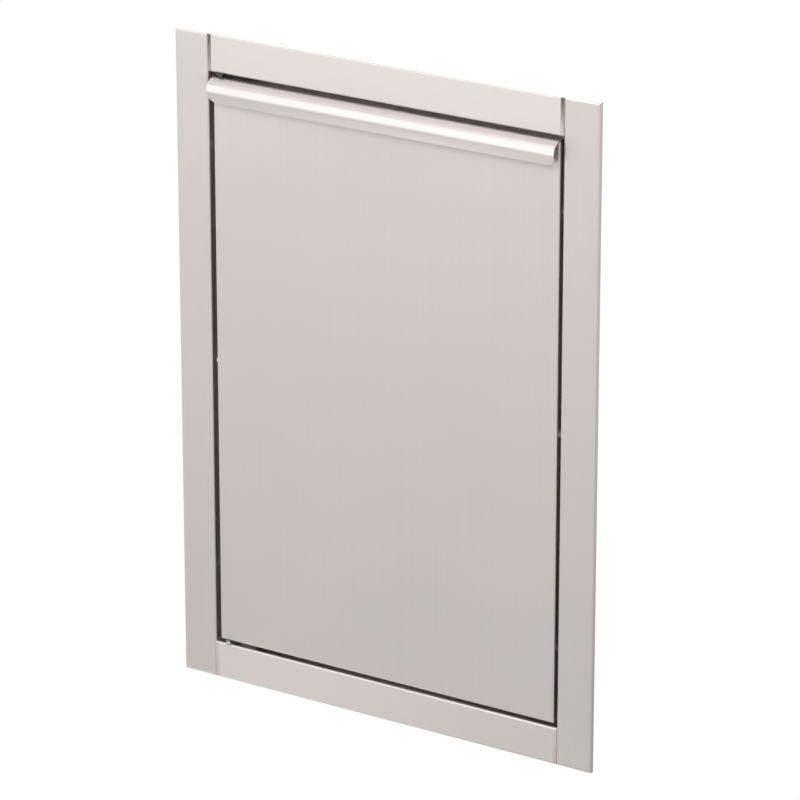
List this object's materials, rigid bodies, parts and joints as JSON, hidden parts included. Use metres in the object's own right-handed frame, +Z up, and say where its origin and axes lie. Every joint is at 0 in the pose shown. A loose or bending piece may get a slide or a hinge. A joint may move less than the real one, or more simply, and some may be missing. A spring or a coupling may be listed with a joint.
{
  "type": "island access door",
  "caption": "Flush rectangular sheet-metal door with a full-width curled top handle, hinged in a flat face frame for a wall cut-out.",
  "frame": {"origin": "centre of the frame's opening, on the wall's face that the frame's outer lips rest on", "axes": "+X to the right seen from the front, +Y into the island, +Z up"},
  "size_m": [0.4318, 0.0481, 0.6096],
  "materials": {
    "brushed_stainless": "satin, fine vertical or lengthwise grain",
    "plain_stainless": "mill finish",
    "rivet_stainless": "smooth, slightly polished",
    "zinc_steel": "bright zinc plating",
    "white_nylon": "matt moulded",
    "grey_nylon": "matt moulded",
    "dark_ferrite": "sintered, ground",
    "black_rubber": "matt moulded"
  },
  "bodies": {
    "frame": {"frame_stile_left": "brushed_stainless", "frame_stile_right": "brushed_stainless", "frame_rail_top": "brushed_stainless", "frame_rail_bottom": "brushed_stainless", "corner_bracket_top_left": "plain_stainless", "corner_bracket_top_right": "plain_stainless", "corner_bracket_bottom_left": "plain_stainless", "corner_bracket_bottom_right": "plain_stainless", "lower_frame_plate": "plain_stainless", "lower_pivot_pin": "plain_stainless", "lower_washer": "white_nylon", "lower_plate_rivets": "rivet_stainless", "upper_frame_plate": "plain_stainless", "upper_pivot_pin": "plain_stainless", "upper_bush": "grey_nylon", "upper_plate_screws": "zinc_steel", "upper_plate_nuts": "zinc_steel", "upper_catch_housing": "grey_nylon", "lower_catch_housing": "grey_nylon", "upper_catch_magnet": "dark_ferrite", "lower_catch_magnet": "dark_ferrite", "upper_catch_poles": "zinc_steel", "lower_catch_poles": "zinc_steel", "catch_screws": "zinc_steel", "upper_bumper": "black_rubber", "lower_bumper": "black_rubber"},
    "door": {"door_skin": "brushed_stainless", "door_liner": "brushed_stainless", "door_stiffener": "plain_stainless", "handle": "brushed_stainless", "handle_rivets": "rivet_stainless", "liner_rivets": "rivet_stainless", "lower_door_plate": "plain_stainless", "door_plate_rivets": "rivet_stainless", "upper_strike_plate": "zinc_steel", "lower_strike_plate": "zinc_steel", "strike_rivets": "rivet_stainless"}
  },
  "joints": [
    {"name": "door_swing", "type": "hinge", "parent": "frame", "child": "door", "pos_m": [-0.167, -0.005, 0], "axis": [0, 0, -1], "range_deg": [0, 110]}
  ]
}
